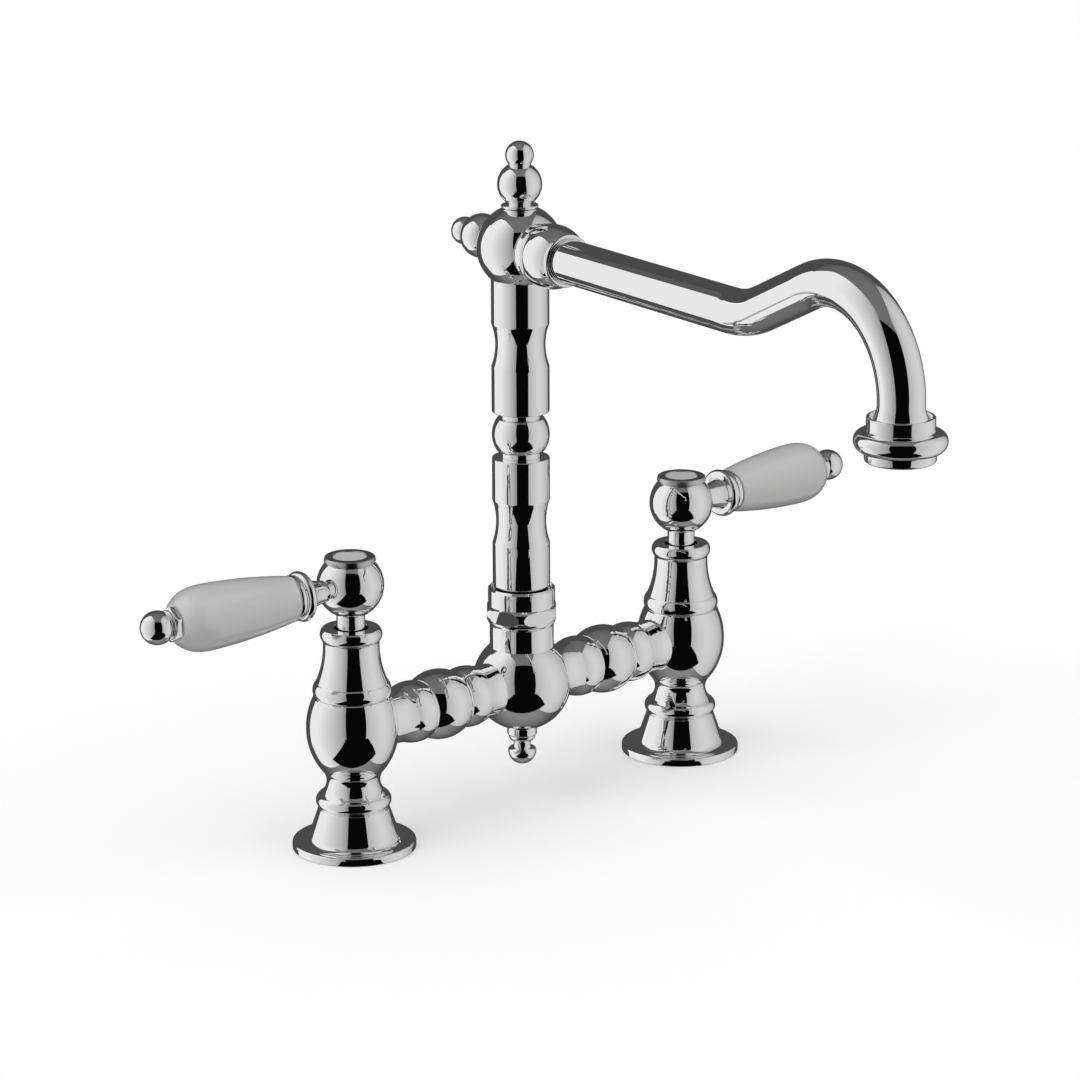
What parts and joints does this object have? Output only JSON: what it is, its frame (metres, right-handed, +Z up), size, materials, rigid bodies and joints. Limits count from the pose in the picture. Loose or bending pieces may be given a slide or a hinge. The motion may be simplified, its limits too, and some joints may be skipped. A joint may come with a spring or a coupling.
{
  "type": "bridge kitchen faucet",
  "caption": "Deck-mounted bridge kitchen tap with two porcelain-sleeved levers, a turned bridge and column, and a swivelling swan spout.",
  "frame": {"origin": "on the deck, midway between the two inlet axes, at the underside of the feet", "axes": "+X towards the right-hand valve, -Y to the front where the spout points, +Z up"},
  "size_m": [0.4154, 0.3326, 0.3069],
  "materials": {
    "chrome": "polished chrome plate on brass",
    "porcelain": "glazed white porcelain",
    "brass": "machined",
    "ceramic": "lapped alumina ceramic",
    "rubber": "moulded",
    "steel": "stainless, turned",
    "plastic": "moulded"
  },
  "bodies": {
    "mixer_body": {"left_foot": "chrome", "left_valve_body": "chrome", "left_bonnet": "chrome", "left_cartridge": "brass", "left_fixed_disc": "ceramic", "left_base_seal": "rubber", "left_seat_seal": "rubber", "right_foot": "chrome", "right_valve_body": "chrome", "right_bonnet": "chrome", "right_cartridge": "brass", "right_fixed_disc": "ceramic", "right_base_seal": "rubber", "right_seat_seal": "rubber", "left_bridge_link": "chrome", "right_bridge_link": "chrome", "centre_body": "chrome", "bottom_finial": "chrome", "union_nut": "chrome", "bridge_seals": "rubber", "split_ring": "brass"},
    "spout": {"lower_column": "chrome", "swivel_seals": "rubber", "column_knop": "chrome", "upper_column": "chrome", "elbow_ball": "chrome", "top_finial": "chrome", "back_finial": "chrome", "spout_collar": "chrome", "spout_tube": "chrome", "outlet_collar": "chrome", "aerator_shell": "chrome", "aerator_screen": "steel", "aerator_insert": "plastic", "aerator_washer": "rubber"},
    "left_lever": {"left_spindle": "brass", "left_moving_disc": "ceramic", "left_hub": "chrome", "left_index_ring": "chrome", "left_index_button": "porcelain", "left_hub_screw": "steel", "left_lever_arm": "chrome", "left_tie_rod": "steel", "left_sleeve_cushions": "rubber", "left_lever_sleeve": "porcelain", "left_tip_washer": "chrome", "left_tip_ball": "chrome"},
    "right_lever": {"right_spindle": "brass", "right_moving_disc": "ceramic", "right_hub": "chrome", "right_index_ring": "chrome", "right_index_button": "porcelain", "right_hub_screw": "steel", "right_lever_arm": "chrome", "right_tie_rod": "steel", "right_sleeve_cushions": "rubber", "right_lever_sleeve": "porcelain", "right_tip_washer": "chrome", "right_tip_ball": "chrome"}
  },
  "joints": [
    {"name": "spout_swivel", "type": "hinge", "parent": "mixer_body", "child": "spout", "pos_m": [0, 0, 0.09], "axis": [0, 0, 1], "continuous": true},
    {"name": "left_lever_turn", "type": "hinge", "parent": "mixer_body", "child": "left_lever", "pos_m": [-0.1, 0, 0.1], "axis": [0, 0, 1], "range_deg": [0, 90]},
    {"name": "right_lever_turn", "type": "hinge", "parent": "mixer_body", "child": "right_lever", "pos_m": [0.1, 0, 0.1], "axis": [0, 0, 1], "range_deg": [-90, 0]}
  ]
}
